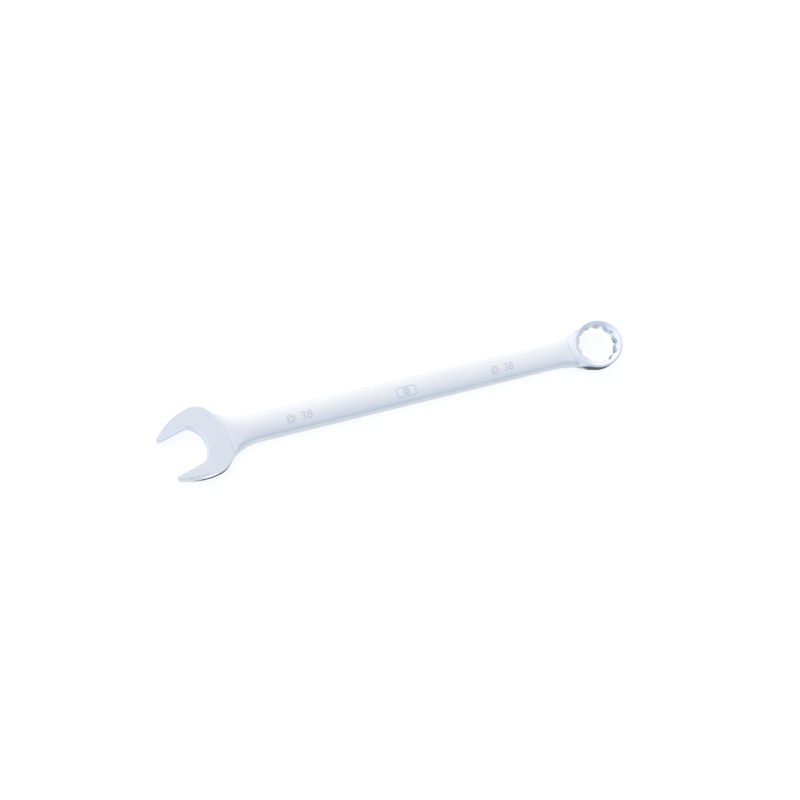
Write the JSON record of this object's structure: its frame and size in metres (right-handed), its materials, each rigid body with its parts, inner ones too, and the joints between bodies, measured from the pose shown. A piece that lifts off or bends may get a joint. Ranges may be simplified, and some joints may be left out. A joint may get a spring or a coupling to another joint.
{
  "type": "combination wrench",
  "caption": "Combination wrench: open jaw head at 15 degrees, long crowned shank, raised and tilted twelve-point box end.",
  "frame": {"origin": "middle of the wrench's bounding box in plan, at the height of the surface it lies on", "axes": "+X along the shank from the open end to the box end, +Z out of the front face, +Y to the side that the open head leans to at its back"},
  "size_m": [0.5058, 0.0704, 0.0316],
  "materials": {
    "polished_chrome": "ground and polished chrome plate on forged steel",
    "satin_chrome": "satin chrome plate on forged steel"
  },
  "bodies": {
    "root": {"open_end": "polished_chrome", "shank": "satin_chrome", "box_end": "polished_chrome"}
  },
  "joints": []
}
